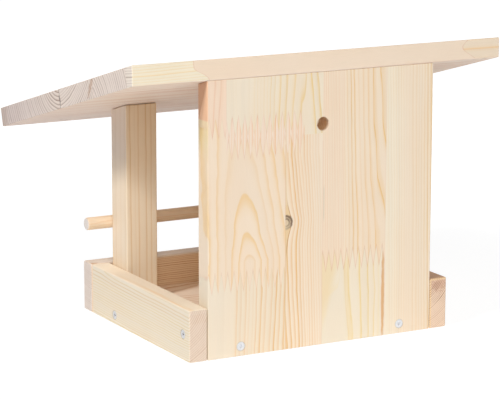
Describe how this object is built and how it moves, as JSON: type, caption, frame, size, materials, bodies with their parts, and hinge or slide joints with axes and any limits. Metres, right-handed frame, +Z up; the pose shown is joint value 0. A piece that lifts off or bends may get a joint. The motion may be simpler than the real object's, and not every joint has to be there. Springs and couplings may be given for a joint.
{
  "type": "wooden animal feeding table with roof",
  "caption": "Open wooden feeding table: low-rimmed tray, tall back board with a hanging hole, two front posts, fixed sloping roof and a round perch rod.",
  "frame": {"origin": "on the ground plane, under the middle of the bounding box; it lies in the floor board's underside", "axes": "+Z up, +Y towards the back face that hangs on a wall or tree, -Y the open front with the perch rod, +X to the right as seen from the front"},
  "size_m": [0.376, 0.291, 0.2683],
  "materials": {
    "panel_wood": "planed, unfinished, edge-glued finger-jointed softwood",
    "roof_wood": "planed, unfinished, edge-glued finger-jointed softwood",
    "floor_wood": "planed, unfinished softwood",
    "rail_wood": "planed, unfinished softwood",
    "post_wood": "planed, unfinished softwood",
    "rod_wood": "turned, unfinished softwood dowel",
    "zinc": "bright zinc plated"
  },
  "bodies": {
    "root": {"back_board": "panel_wood", "roof_board": "roof_wood", "floor_board": "floor_wood", "left_side_rail": "rail_wood", "right_side_rail": "rail_wood", "front_rail": "rail_wood", "left_post": "post_wood", "right_post": "post_wood", "perch_rod": "rod_wood", "left_rail_screws": "zinc", "right_rail_screws": "zinc", "back_board_screws": "zinc", "front_rail_screws": "zinc", "post_foot_screws": "zinc", "roof_back_screws": "zinc", "roof_post_screws": "zinc", "perch_screws": "zinc"}
  },
  "joints": []
}
